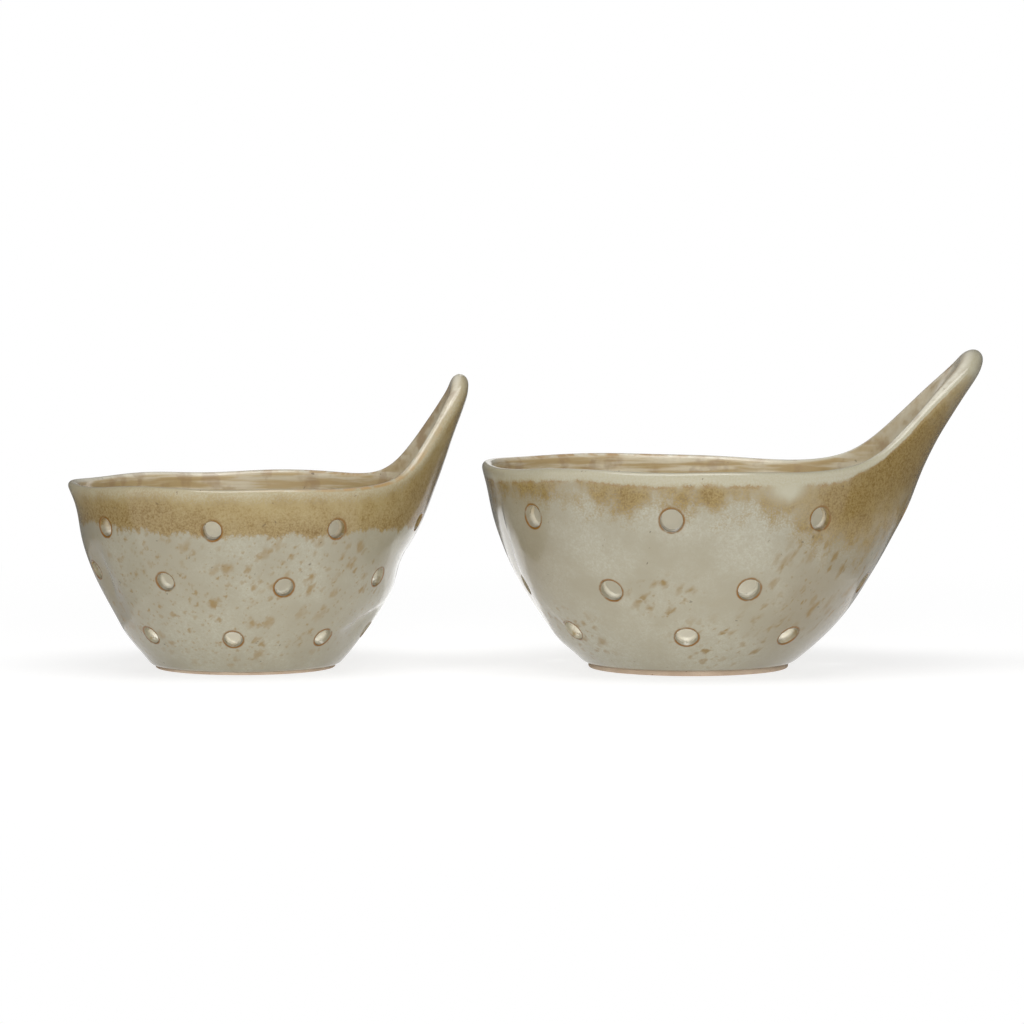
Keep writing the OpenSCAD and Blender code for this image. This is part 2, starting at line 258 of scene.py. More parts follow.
def wallMarks(bowl):  # stretched so that the holes come out round after pressing
    marks = []
    for a, z in holePlaces(bowl):
        r, s = float(outerR(bowl, a, z)), float(slopeAt(bowl, a, z))
        place = (collar["radius"] * radians(wrapped(a)), z, 0.0)
        marks.append((place, (collar["radius"] / r, 1 / sqrt(1 + s * s), 1.0)))
    return marks


# Node helpers
def isSocket(value):
    return isinstance(value, bpy.types.NodeSocket)


def fill(node, sockets):  # each of the node's sockets gets a link or a plain value
    for key, value in sockets.items():
        if isSocket(value):
            node.id_data.links.new(value, node.inputs[key])
        else:
            node.inputs[key].default_value = value
    return node


def put(tree, kind, sockets=(), **settings):
    node = tree.nodes.new(kind)
    for key, value in settings.items():
        setattr(node, key, value)
    return fill(node, dict(sockets))


def calc(operation, *values, clamp=False):  # in the tree of the first socket among the values
    tree = next(v.id_data for v in values if isSocket(v))
    node = put(tree, "ShaderNodeMath", dict(enumerate(values)), operation=operation, use_clamp=clamp)
    return node.outputs[0]


def times(first, second):
    return calc("MULTIPLY", first, second)


def scaled(value, factor, shift):
    return calc("MULTIPLY_ADD", value, factor, shift)


def without(share):
    return calc("SUBTRACT", 1.0, share)


def newTree(name, kind, inputs, outputs):  # each socket's label with its sort
    tree = bpy.data.node_groups.new(name, kind)
    for way, sockets in (("INPUT", inputs), ("OUTPUT", outputs)):
        for label, sort in sockets.items():
            tree.interface.new_socket(name=label, in_out=way, socket_type="NodeSocket" + sort)
    return tree, put(tree, "NodeGroupInput").outputs, put(tree, "NodeGroupOutput")


def position(tree):
    place = put(tree, "GeometryNodeInputPosition").outputs[0]
    return put(tree, "ShaderNodeSeparateXYZ", {0: place}).outputs


# Drain hole punch: a flared plug at each mark, rolled round the collar where there is one
punch = {"steps": 44, "lengths": 24, "overrun": 0.7, "endFrom": 0.999, "quadSides": 4}


def flaredPlug(tree, given):  # runs down from the outer face, with a rounded edge at each face
    rod = put(tree, "GeometryNodeMeshCylinder", {
        "Vertices": punch["steps"], "Side Segments": punch["lengths"], "Radius": 1.0, "Depth": 2.0})
    at = position(tree)
    half = times(given["Depth"], 0.5)
    swing = calc("SINE", times(at["Z"], pi / 2))
    onEnd = calc("GREATER_THAN", calc("ABSOLUTE", at["Z"]), punch["endFrom"])
    past = times(calc("SIGN", at["Z"]), times(onEnd, punch["overrun"]))
    level = calc("SUBTRACT", scaled(half, swing, past), half)
    near = calc("SUBTRACT", half, calc("ABSOLUTE", calc("ADD", level, half)))
    share = calc("SUBTRACT", 1.0, calc("DIVIDE", near, given["Edge Round"]), clamp=True)
    arc = calc("SQRT", without(times(share, share)))
    radius = scaled(given["Hole Diameter"], 0.5, times(given["Edge Round"], without(arc)))
    shaped = put(tree, "ShaderNodeCombineXYZ", {
        "X": times(at["X"], radius), "Y": times(at["Y"], radius), "Z": level})
    return put(tree, "GeometryNodeSetPosition", {
        "Geometry": rod.outputs["Mesh"], "Position": shaped.outputs[0]}).outputs[0]


def rolledRound(tree, given, plugs):  # a flat sheet of plugs, rolled round the collar
    at = position(tree)
    angle = calc("DIVIDE", at["X"], given["Roll Radius"])
    out = calc("ADD", at["Z"], given["Roll Radius"])
    bent = put(tree, "ShaderNodeCombineXYZ", {
        "X": times(out, calc("COSINE", angle)), "Y": times(out, calc("SINE", angle)), "Z": at["Y"]})
    return put(tree, "GeometryNodeSetPosition", {
        "Geometry": plugs, "Selection": given["Rolled"], "Position": bent.outputs[0]}).outputs[0]


def punchTree():
    tree, given, result = newTree("drainHolePunch", "GeometryNodeTree", {
        "Clay": "Geometry", "Marks": "Object", "Hole Diameter": "Float", "Edge Round": "Float",
        "Depth": "Float", "Rolled": "Bool", "Roll Radius": "Float", "Finish": "Material",
    }, {"Clay": "Geometry"})
    tree.is_modifier = True
    marks = put(tree, "GeometryNodeObjectInfo", {"Object": given["Marks"]})
    scale = put(tree, "GeometryNodeInputNamedAttribute", {"Name": "punchScale"}, data_type="FLOAT_VECTOR")
    plugs = put(tree, "GeometryNodeInstanceOnPoints", {
        "Points": marks.outputs["Geometry"], "Instance": flaredPlug(tree, given),
        "Scale": scale.outputs["Attribute"]})
    flat = put(tree, "GeometryNodeRealizeInstances", {"Geometry": plugs.outputs[0]}).outputs[0]
    pierced = put(tree, "GeometryNodeMeshBoolean", {
        "Mesh 1": given["Clay"], "Mesh 2": rolledRound(tree, given, flat)},
        operation="DIFFERENCE", solver="MANIFOLD")
    sides = put(tree, "GeometryNodeInputMeshFaceNeighbors").outputs["Vertex Count"]
    many = calc("GREATER_THAN", sides, punch["quadSides"])
    trimmed = put(tree, "GeometryNodeTriangulate", {"Mesh": pierced.outputs["Mesh"], "Selection": many})
    smooth = put(tree, "GeometryNodeSetShadeSmooth", {"Geometry": trimmed.outputs[0]})
    real = put(tree, "GeometryNodeRealizeInstances", {"Geometry": smooth.outputs[0]})
    dressed = put(tree, "GeometryNodeSetMaterial", {"Geometry": real.outputs[0], "Material": given["Finish"]})
    return fill(result, {"Clay": dressed.outputs[0]}).id_data


def socketOf(tree, label):
    return next(s.identifier for s in tree.interface.items_tree if s.name == label and s.in_out == "INPUT")


def plainMesh(o):  # with the object's modifier applied
    return bpy.data.meshes.new_from_object(o.evaluated_get(bpy.context.evaluated_depsgraph_get()))


def punched(tree, mesh, marks, settings):  # plain mesh of the clay with its drain holes
    clayObject = addObject(mesh.name, mesh)
    markObject = addObject(mesh.name + "Marks", markMesh(mesh.name + "Marks", marks))
    modifier = clayObject.modifiers.new("punch", "NODES")
    modifier.node_group = tree
    for label, value in {"Marks": markObject, **settings}.items():
        modifier[socketOf(tree, label)] = value
    made = plainMesh(clayObject)
    for o in (clayObject, markObject):
        bpy.data.objects.remove(o)
    return made


def dress(mesh, *finishes):  # only these slots, all faces on the first
    mesh.materials.clear()
    for finish in finishes:
        mesh.materials.append(finish)
    mesh.polygons.foreach_set("material_index", np.zeros(len(mesh.polygons), np.int32))


def pointsOf(mesh):
    co = np.empty(len(mesh.vertices) * 3, np.float32)
    mesh.vertices.foreach_get("co", co)
    return co.reshape(-1, 3).astype(float)


def setPoints(mesh, points):
    mesh.vertices.foreach_set("co", points.astype(np.float32).ravel())
    mesh.update()


def insidePath(bowl, a, z, offset):  # radius and height on the inside that face a height on the outside
    low, boreShare = clay["floor"] + clay["cove"], clay["boreShare"]
    lowArray = np.full_like(z, low)
    lowSlope = slopeAt(bowl, a, lowArray)
    lowShift = clay["wall"] * lowSlope / np.sqrt(1 + lowSlope ** 2)
    lowOuter = low - lowShift
    wallR, wallZ = innerR(bowl, a, z + offset), z + offset
    share = np.clip((z - bowl["foot"]) / (lowOuter - bowl["foot"]), 0, 1)
    t = np.clip((share - boreShare) / (1 - boreShare), 0, 1)
    topR = innerR(bowl, a, lowArray)
    bendR = topR - lowSlope * clay["cove"]
    coveR = t ** 2 * topR + 2 * t * (1 - t) * bendR + (1 - t) ** 2 * plugR(bowl)
    coveZ = clay["floor"] + t ** 2 * clay["cove"]
    boreZ = bowl["foot"] + (clay["floor"] - bowl["foot"]) * np.clip(share / boreShare, 0, 1)
    below = z < lowOuter
    inBore = below & (share < boreShare)
    r = np.where(inBore, plugR(bowl), np.where(below, coveR, wallR))
    return r, np.where(inBore, boreZ, np.where(below, coveZ, wallZ))


def pressed(bowl, points):  # collar points pressed into the bowl's shape, round its own axis
    a = np.degrees(np.arctan2(points[:, 1], points[:, 0]))
    depth = np.clip((collar["radius"] - np.hypot(points[:, 0], points[:, 1])) / clay["wall"], 0, 1)
    v, under = points[:, 2], clay["underRound"]
    top = rimHeight(bowl, a)
    rise = thickAt(bowl, top) / 2 * edgeSteepness(bowl, a)
    edge = top - rise
    share = np.clip((v - bowl["collar"]) / (bowl["rim"] - bowl["collar"]), 0, 1)
    lipFrom = 1 - collar["lipShare"]
    climb = np.minimum(share / lipFrom, 1)
    z = np.where(share > 0, bowl["collar"] + (edge - bowl["collar"]) * climb, v)
    slope = slopeAt(bowl, a, z)
    square = thickAt(bowl, z) * slope / np.sqrt(1 + slope ** 2) * (1 - climb)
    inR, inZ = insidePath(bowl, a, z, square)
    curl = np.clip(under - (z - bowl["foot"]), 0, under)
    outR = outerR(bowl, a, z) - (under - np.sqrt(under ** 2 - curl ** 2))
    lip = np.clip((share - lipFrom) / collar["lipShare"], 0, 1) * np.pi / 2
    depth = 0.5 + (depth - 0.5) * np.cos(lip)
    r = outR + (inR - outR) * depth + slope * rise * np.sin(lip)
    z = z + (inZ - z) * depth + rise * np.sin(lip)
    turn = np.radians(a)
    made = np.stack([r * np.cos(turn), r * np.sin(turn), z], 1)
    calm = np.clip((v - bowl["foot"] - under) / clay["cove"], 0, 1)
    dip = clay["pressLeast"] + clay["pressDepth"] * calm * handPress(made, bowl["footR"])
    side = np.where(depth < 0.5, 1.0, -1.0) * np.cos(lip)
    fold = calm * foldAt(bowl, a, z) * np.cos(lip)
    made[:, :2] *= (1 - (dip * side + fold) / r)[:, None]
    return made


def setPointValues(mesh, name, values, sort="FLOAT"):
    layer = mesh.attributes.new(name, sort, "POINT")
    field = "value" if sort == "FLOAT" else "vector"
    layer.data.foreach_set(field, np.asarray(values, np.float32).ravel())


skinProbe = {"near": 0.002, "turn": 0.2, "step": 0.15}  # share of the wall, degrees, millimetres


def skinNormals(bowl, points):  # measured on the pressed form, zero off the skin
    depth = (collar["radius"] - np.hypot(points[:, 0], points[:, 1])) / clay["wall"]
    outside, within = np.abs(depth) < skinProbe["near"], np.abs(depth - 1) < skinProbe["near"]
    low, high = bowl["foot"] + clay["underRound"], bowl["collar"]
    onSkin = (outside | within) & (points[:, 2] > low) & (points[:, 2] < high)
    at = points[onSkin]
    sides = []
    for s in (-1, 1):
        t = radians(s * skinProbe["turn"])
        c, n = cos(t), sin(t)
        spun = at @ np.array(((c, n, 0), (-n, c, 0), (0, 0, 1)))
        sides.append((pressed(bowl, spun), pressed(bowl, at + np.array((0, 0, s * skinProbe["step"])))))
    across = np.cross(sides[1][0] - sides[0][0], sides[1][1] - sides[0][1])
    across *= np.where(outside[onSkin], 1.0, -1.0)[:, None]
    normals = np.zeros_like(points)
    normals[onSkin] = across / np.linalg.norm(across, axis=1)[:, None]
    return normals


# Seam between wall and handle: reach of the cutting wedge, and what counts as lying on the cut
seam = {"wedge": (20.0, 220.0), "touch": 1e-3, "flat": 0.99, "leastGap": 1e-4, "measured": 0.5}


def seatCutter(bowl):  # wedge that holds the handle, from its flat seat up
    half, low = radians(bowl["rootHalf"]), seatHeight(bowl)
    near, far = seam["wedge"]
    corners = [(r * cos(s * half), s * r * sin(half))
               for r, s in ((near, -1), (far, -1), (far, 1), (near, 1))]
    points = [(x, y, z) for z in (low, low + far) for x, y in corners]
    faces = [(3, 2, 1, 0), (4, 5, 6, 7), (0, 1, 5, 4), (1, 2, 6, 5), (2, 3, 7, 6), (3, 0, 4, 7)]
    return newMesh("seatCutter", points, faces)


def cutBy(mesh, cutter, operation):
    whole, tool = (addObject("cutting", m) for m in (mesh, cutter))
    modifier = whole.modifiers.new("cut", "BOOLEAN")
    modifier.operation, modifier.object, modifier.solver = operation, tool, "MANIFOLD"
    made = plainMesh(whole)
    for o in (whole, tool):
        bpy.data.objects.remove(o)
    return made


def weld(mesh, distance=0.002, sliver=0.0005):
    bm = bmesh.new()
    bm.from_mesh(mesh)
    bmesh.ops.remove_doubles(bm, verts=bm.verts, dist=distance)
    bmesh.ops.dissolve_degenerate(bm, edges=bm.edges, dist=sliver)
    for f in bm.faces:
        f.smooth = True
    bm.to_mesh(mesh)
    bm.free()
    mesh.update()


slabForm = {"rings": 12, "roundSteps": 4, "columns": 96, "ringHoles": 6, "holeReach": 0.6}


def floorMesh(bowl):  # turned slab, its top at height 0
    foot, plug, deep, ease = bowl["footR"], plugR(bowl), clay["floor"], clay["footRound"]
    ledge = bowl["foot"] - deep
    spread = [plug * k / slabForm["rings"] for k in range(1, slabForm["rings"])]
    turns = [pi / 2 * k / slabForm["roundSteps"] for k in range(slabForm["roundSteps"] + 1)]
    under = [(foot - ease + ease * sin(t), -deep + ease - ease * cos(t)) for t in turns]
    rings = [(r, -deep) for r in spread] + under + [(foot, ledge), (plug, ledge), (plug, 0.0)]
    rings += [(r, 0.0) for r in reversed(spread)]
    n, m = slabForm["columns"], len(rings)
    around = [2 * pi * i / n for i in range(n)]
    points = [(r * cos(t), r * sin(t), z) for t in around for r, z in rings]
    points += [(0.0, 0.0, -deep), (0.0, 0.0, 0.0)]
    columns = [(i * m, (i + 1) % n * m) for i in range(n)]  # first point of each column and of the next
    faces = [(i + k, j + k, j + k + 1, i + k + 1) for i, j in columns for k in range(m - 1)]
    faces += [(j, i, n * m) for i, j in columns]
    faces += [(i + m - 1, j + m - 1, n * m + 1) for i, j in columns]
    return newMesh(bowl["name"] + "FloorSlab", points, faces)


def floorMarks(bowl):  # one hole in the middle and a ring of them
    reach, count = plugR(bowl) * slabForm["holeReach"], slabForm["ringHoles"]
    turns = [2 * pi * k / count for k in range(count)]
    places = [(0.0, 0.0, 0.0)] + [(reach * cos(t), reach * sin(t), 0.0) for t in turns]
    return [(place, (1.0, 1.0, 1.0)) for place in places]


def stood(bowl, points):  # from the bowl's own frame to the shared one, in metres
    t = radians(bowl["turn"])
    spin = np.array(((cos(t), -sin(t), 0), (sin(t), cos(t), 0), (0, 0, 1)))
    return (points @ spin.T + np.array((*bowl["axis"], 0.0))) * mm


def wholeNormals(whole):  # measured on the skin, the mesh's own elsewhere
    normals = np.empty(len(whole.vertices) * 3, np.float32)
    whole.vertices.foreach_get("normal", normals)
    normals = normals.reshape(-1, 3)
    measured = np.empty_like(normals)
    whole.attributes["skinNormal"].data.foreach_get("vector", measured.ravel())
    onSkin = np.linalg.norm(measured, axis=1) > seam["measured"]
    normals[onSkin] = measured[onSkin]
    return normals


def keepNormals(mesh, whole, bowl):  # the skin keeps the undivided wall's normals, so that no seam shows
    tree = BVHTree.FromPolygons([v.co for v in whole.vertices], [p.vertices for p in whole.polygons])
    normals, points = wholeNormals(whole), pointsOf(whole)
    kept = []
    for v in mesh.vertices:
        place, _, index, _ = tree.find_nearest(v.co)
        corners = list(whole.polygons[index].vertices)
        gaps = np.linalg.norm(points[corners] - np.array(place), axis=1) + seam["leastGap"]
        n = (normals[corners] / gaps[:, None] ** 2).sum(0)
        kept.append(n / np.linalg.norm(n))
    seat, touch = seatHeight(bowl), seam["touch"]
    loops = np.empty((len(mesh.loops), 3), np.float32)
    for p in mesh.polygons:
        a = degrees(atan2(p.center.y, p.center.x))
        onSeat = abs(p.center.z - seat) < touch and abs(p.normal.z) > seam["flat"]
        onEnd = abs(abs(a) - bowl["rootHalf"]) < touch and p.center.z > seat - touch
        for loop in p.loop_indices:
            loops[loop] = p.normal if onSeat or onEnd else kept[mesh.loops[loop].vertex_index]
    mesh.normals_split_custom_set(loops.tolist())


# Glaze maps, in millimetres round each bowl's own axis: where pours, edges and flecks lie
# Each run of the pour: azimuth, extra depth, half-width in degrees
# Each patch: azimuth, height, half-width in degrees, half-height
# Each size of fleck: cell, stretch, share of the cells, strength
largeGlaze = {
    "name": "largeGlaze", "pour": 12.0, "drip": 0.8, "soft": 6.0, "spread": 7.0, "band": 5.2,
    "bandSoft": 1.5, "bandGrain": 0.6, "narrow": 6.0, "brownLine": 0.55, "wash": 0.66, "deepShare": 0.45,
    "grainShare": 0.38,
    "runs": [(-45, 15, 18), (-30, 8, 5), (-112, 3, 8), (-86, 2, 6), (-145, 1, 10), (0, 16, 42), (60, 8, 18),
             (140, 6, 14), (100, -5, 6)],
    "pales": [(-63, 75.5, 6.5, 6), (0, 130, 60, 17), (118, 74, 7, 6)],
    "deeps": [(-42, 66, 14, 12), (-20, 84, 22, 15), (8, 92, 30, 16), (-112, 72, 5, 4), (-88, 73, 3, 4),
              (-140, 71, 6, 4)],
    "lipAmbers": [(120, 80, 40, 12)],
    "fleckZones": [(-48, 36, 18, 17), (-78, 13, 16, 8), (-100, 32, 10, 8), (-150, 16, 18, 10),
                   (60, 30, 40, 18), (150, 34, 30, 16), (-22, 38, 14, 16)],
    # the last patches are painted shade: the body is darkened on its sides, where the light falls off
    "sideShadePatches": [(-34, 32, 18, 26), (-52, 27, 10, 16), (-152, 45, 18, 22), (30, 30, 24, 24)],
    "fleckSizes": ((6.4, 2.0, 0.95, 1.0), (4.4, 1.9, 0.8, 0.9), (1.8, 1.2, 0.4, 0.5)),
    "tones": {
        "cream": (176, 172, 155), "creamDeep": (156, 149, 128), "tan": (150, 124, 68),
        "tanDeep": (108, 80, 31), "tanPale": (172, 153, 101), "rim": (180, 175, 153),
        "line": (142, 112, 66), "fleck": (134, 109, 60),
    },
}
smallGlaze = {
    "name": "smallGlaze", "pour": 17.6, "drip": 2.0, "soft": 0.9, "spread": 1.6, "band": 3.4,
    "bandSoft": 3.2, "bandGrain": 2.4, "narrow": 0.6, "brownLine": 0.0, "wash": 0.1, "deepShare": 0.5,
    "grainShare": 0.4,
    "runs": [(-156, -2.5, 20), (-95, 1.0, 14), (-62, 1.6, 10), (40, 2.0, 20), (120, -1.5, 20)],
    "pales": [(0, 119, 60, 9)],
    "deeps": [(-148, 60, 20, 11), (-127, 62, 11, 8), (-108, 60, 8, 7), (-8, 68, 26, 14), (-70, 56, 12, 5),
              (100, 60, 30, 8)],
    "lipAmbers": [(-48, 80, 30, 24), (40, 82, 40, 24)],
    "fleckZones": [(-70, 42, 20, 16), (-132, 46, 16, 13), (-100, 26, 42, 18), (-45, 26, 20, 14),
                   (70, 34, 50, 20), (160, 30, 30, 16), (-166, 22, 14, 20)],
    # the last patches are painted shade: the body is darkened on its sides, where the light falls off
    "sideShadePatches": [(-168, 28, 20, 24), (150, 24, 20, 20)],
    "fleckSizes": ((6.0, 1.5, 0.85, 1.0), (3.4, 1.4, 0.75, 0.85), (1.7, 1.2, 0.55, 0.65)),
    "tones": {
        "cream": (172, 168, 150), "creamDeep": (154, 147, 126), "tan": (157, 136, 86),
        "tanDeep": (114, 85, 36), "tanPale": (177, 160, 115), "rim": (176, 166, 138),
        "line": (160, 132, 84), "fleck": (140, 116, 72),
    },
}
glaze = {  # what both share
    "tones": {
        # inside and insideCool are the inner glaze's own cream, partly painted light: paler than the outer
        # cream, standing for the light from above
        "inside": (233, 227, 208), "insideCool": (212, 207, 189), "insideTan": (174, 146, 92),
        "insideBrown": (148, 118, 92), "amber": (126, 82, 12), "ringBrown": (112, 92, 60),
        # the greyer cream of the painted side shade is given beside lipAmber
        "lipAmber": (178, 140, 84), "stain": (136, 124, 98), "speck": (84, 68, 48),
    },
    "mottle": {"coarse": 26.0, "fine": 0.75}, "patch": {"coarse": 9.0, "fine": 1.6},
    "thinDrift": (0.4, -0.2), "thinEnds": (0.1, 0.95), "insideEnds": (0.3, 0.7), "handleRise": 20.0,
    "flecks": {"slant": radians(-52), "radius": 0.44, "soft": 0.75},
    "specks": {"cell": 4.2, "stretch": 1.0, "slant": 0.0, "share": 0.34, "radius": 0.13, "soft": 0.5},
    "rimLine": {"reach": 0.75, "broken": 0.45}, "lipLine": {"reach": 0.8, "broken": 0.45},
    "rings": {"ringBrown": {"reach": 0.45, "broken": 0.3}, "amber": {"reach": 0.85, "broken": 0.44}},
    "speckShare": 0.7, "gloss": 0.1, "waviness": 0.12,
}
patchMaps = {
    # the last map holds the painted shade on the bowls' sides
    "pale": "pales", "flecky": "fleckZones", "deep": "deeps", "lipTone": "lipAmbers", "stained": "sideShadePatches",
}
mapNames = ("run", "lipGap", "raised", "holeGap", "holeUnder", "inside", *patchMaps)


def patches(places, a, z):
    value = sum(bell(a - at, half) * np.exp(-((z - height) / tall) ** 2) for at, height, half, tall in places)
    return np.clip(value, 0, 1)


def holeAxes(bowl):  # centre and outward direction of each hole in the wall
    axes = []
    for a, z in holePlaces(bowl):
        r, s, t = float(outerR(bowl, a, z)), float(slopeAt(bowl, a, z)), radians(a)
        along = np.array((cos(t), sin(t), -s))
        axes.append((np.array((r * cos(t), r * sin(t), z)), along / np.linalg.norm(along)))
    return axes


def holeMaps(axes, radius, points, far=20.0):  # gap to the nearest hole's edge, how far below its centre
    gap, under = np.full(len(points), far), np.zeros(len(points))
    for centre, along in axes:
        offset = points - centre
        deep = offset @ along
        out = np.linalg.norm(offset - deep[:, None] * along, axis=1) - radius
        nearer = (np.abs(deep) < far / 2) & (out < gap)
        gap = np.where(nearer, out, gap)
        under = np.where(nearer, np.clip(-offset[:, 2] / radius, -1, 1), under)
    return {"holeGap": gap, "holeUnder": under}


def wallMaps(bowl, look, points):
    a = np.degrees(np.arctan2(points[:, 1], points[:, 0]))
    r, z = np.hypot(points[:, 0], points[:, 1]), points[:, 2]
    outside, within, rim = outerR(bowl, a, z), innerR(bowl, a, z), rimHeight(bowl, a)
    level = bowl["rim"] - look["pour"] - sum(depth * bell(a - at, half) for at, depth, half in look["runs"])
    return {
        "run": z - level,
        "lipGap": (rim - z) / edgeSteepness(bowl, a),
        "raised": np.clip((rim - bowl["rim"]) / glaze["handleRise"], 0, 1),
        **holeMaps(holeAxes(bowl), bowl["hole"] / 2, points),
        "inside": np.clip((outside - r) / (outside - within), 0, 1),
        **{label: patches(look[places], a, z) for label, places in patchMaps.items()},
    }


def floorMaps(bowl, points, away=60.0):  # all of it inside, far from the lip
    axes = [(np.array(place), np.array((0.0, 0.0, 1.0))) for place, scale in floorMarks(bowl)]
    flat, far = np.zeros(len(points)), np.full(len(points), away)
    return {"run": -far, "lipGap": far, "raised": flat, **holeMaps(axes, bowl["hole"] / 2, points),
            "inside": flat + 1, **dict.fromkeys(patchMaps, flat)}


# Shader helpers, each in the tree of the socket that it is given
def srgb(colour):  # from 0 to 255 on the sRGB curve to linear light
    shares = [c / 255 for c in colour]
    return (*(s / 12.92 if s < 0.04045 else ((s + 0.055) / 1.055) ** 2.4 for s in shares), 1.0)


def ramp(value, low, high):  # smooth step, downwards where low is above high
    sockets = {"Value": value, "From Min": low, "From Max": high}
    return put(value.id_data, "ShaderNodeMapRange", sockets, interpolation_type="SMOOTHSTEP").outputs[0]


def laid(under, over, share, *factors):  # one colour laid over another, by the product of the shares
    for factor in factors:
        share = times(share, factor)
    return put(share.id_data, "ShaderNodeMix", {0: share, 6: under, 7: over}, data_type="RGBA").outputs[2]


def between(share, first, second):  # the same for numbers
    return put(share.id_data, "ShaderNodeMix", {0: share, 2: first, 3: second}).outputs[0]


def cloud(place, size, detail=2.0, rough=0.5):  # noise with lumps of a given size
    tree = place.id_data
    scale = put(tree, "ShaderNodeMath", {0: 1.0, 1: size}, operation="DIVIDE").outputs[0]
    sockets = {"Vector": place, "Scale": scale, "Detail": detail, "Roughness": rough}
    return put(tree, "ShaderNodeTexNoise", sockets).outputs[0]


def stretched(place, x, y, z, slant=0.0):  # turned about Y, then divided by a size each way
    tree = place.id_data
    sizes = put(tree, "ShaderNodeCombineXYZ", {"X": x, "Y": y, "Z": z}).outputs[0]
    turn = put(tree, "ShaderNodeCombineXYZ", {"Y": slant}).outputs[0]
    sockets = {"Vector": place, "Rotation": turn, "Scale": sizes}
    return put(tree, "ShaderNodeMapping", sockets, vector_type="TEXTURE").outputs[0]


def vectorCalc(operation, *values):
    node = put(values[0].id_data, "ShaderNodeVectorMath", dict(enumerate(values)), operation=operation)
    return node.outputs[0]


def effectTree(name, inputs, outputs):  # shader group with a place and numbers in, numbers out
    sorts = {"Place": "Vector", **dict.fromkeys(inputs, "Float")}
    return newTree(name, "ShaderNodeTree", sorts, dict.fromkeys(outputs, "Float"))[1:]


# In what follows, a pair is a factor and a shift, or the two ends of a ramp
mottles = {
    "Cloud": {"size": "Coarse", "detail": 3.0, "rough": 0.55, "ends": (0.3, 0.7)},
    "Grain": {"size": "Fine", "detail": 2.0, "rough": 0.6, "ends": (0.32, 0.68)},
}


def mottleGroup():  # broad clouds and fine grain of the reactive glaze
    given, result = effectTree("glazeMottle", ("Coarse", "Fine"), mottles)
    made = {}
    for label, form in mottles.items():
        lumps = cloud(given["Place"], given[form["size"]], form["detail"], form["rough"])
        made[label] = ramp(lumps, *form["ends"])
    return fill(result, made).id_data


def fleckGroup(wobbleScale=2.2, wobble=0.7, sizes=(0.7, 0.5), strengths=(0.6, 0.4)):
    # scattered flecks, some of the cells of a stretched Voronoi
    labels = ("Cell", "Stretch", "Slant", "Share", "Radius", "Soft")
    given, result = effectTree("glazeFlecks", labels, ("Mask",))
    tree, cell = result.id_data, given["Cell"]
    cells = stretched(given["Place"], times(cell, given["Stretch"]), cell, cell, given["Slant"])
    swirl = put(tree, "ShaderNodeTexNoise", {"Vector": cells, "Scale": wobbleScale, "Detail": 1.0})
    shift = vectorCalc("SUBTRACT", swirl.outputs["Color"], (0.5,) * 3)
    moved = vectorCalc("MULTIPLY_ADD", shift, (wobble,) * 3, cells)
    spots = put(tree, "ShaderNodeTexVoronoi", {"Vector": moved, "Scale": 1.0}).outputs
    draw = put(tree, "ShaderNodeSeparateColor", {0: spots["Color"]}).outputs
    chosen = calc("LESS_THAN", draw[0], given["Share"])
    size = times(given["Radius"], scaled(draw[1], *sizes))
    body = ramp(spots["Distance"], size, times(size, without(given["Soft"])))
    return fill(result, {"Mask": times(times(body, chosen), scaled(draw[2], *strengths))}).id_data


def runGroup(fingers=(2.0, 2.0, 16.0), fingerSway=(2.2, -1.1), broad=(9.0, 9.0, 26.0), broadSway=(3.0, -1.5),
             grainSway=(0.8, -0.4), pool=(11.0, 0.5)):  # poured second glaze with a dripping lower edge
    labels = ("Run", "Drip", "Soft", "Cloud", "Grain", "Spread")
    given, result = effectTree("glazeRun", labels, ("Mask", "Pool"))
    place, soft = given["Place"], given["Soft"]
    drips = scaled(cloud(stretched(place, *fingers), 1.0, 1.0), *fingerSway)
    sway = calc("ADD", drips, scaled(cloud(stretched(place, *broad), 1.0), *broadSway))
    mixed = calc("ADD", calc("SUBTRACT", given["Cloud"], 0.5), scaled(given["Grain"], *grainSway))
    depth = scaled(sway, given["Drip"], scaled(mixed, given["Spread"], given["Run"]))
    made = {"Mask": ramp(depth, times(soft, -1.0), soft), "Pool": ramp(depth, *pool)}
    return fill(result, made).id_data


def breakGroup(core=0.3, lumps=4.5, soft=0.15):  # thin glaze that breaks amber over an edge
    given, result = effectTree("glazeBreak", ("Gap", "Reach", "Broken"), ("Mask",))
    line = ramp(calc("ABSOLUTE", given["Gap"]), given["Reach"], times(given["Reach"], core))
    low, high = (calc(way, given["Broken"], soft) for way in ("SUBTRACT", "ADD"))
    return fill(result, {"Mask": times(line, ramp(cloud(given["Place"], lumps), low, high))}).id_data


def skinGroup(waves=6.0, peel=0.9, peelShare=0.12, blurs=9.0, blurShare=0.1):  # soft waves, and the gloss
    given, result = effectTree("glazeSkin", ("Gloss",), ("Height", "Roughness"))
    place = given["Place"]
    height = scaled(cloud(place, peel, 1.0), peelShare, cloud(place, waves, 1.0))
    rough = scaled(cloud(place, blurs), blurShare, given["Gloss"])
    return fill(result, {"Height": height, "Roughness": rough}).id_data


groups = {
    "mottle": mottleGroup(), "flecks": fleckGroup(), "run": runGroup(), "break": breakGroup(),
    "skin": skinGroup(),
}
print("glaze groups made:", len(groups))


def effect(group, place, **inputs):
    sockets = {"Place": place, **{k.capitalize(): v for k, v in inputs.items()}}
    return put(place.id_data, "ShaderNodeGroup", sockets, node_tree=groups[group]).outputs


def newMaterial(name):
    material = bpy.data.materials.new(name)
    material.use_nodes = True
    tree = material.node_tree
    seat = put(tree, "ShaderNodeTexCoord").outputs["Object"]
    inMillimetres = put(tree, "ShaderNodeVectorMath", {0: seat, "Scale": 1 / mm}, operation="SCALE")
    return material, tree.nodes["Principled BSDF"], inMillimetres.outputs[0]


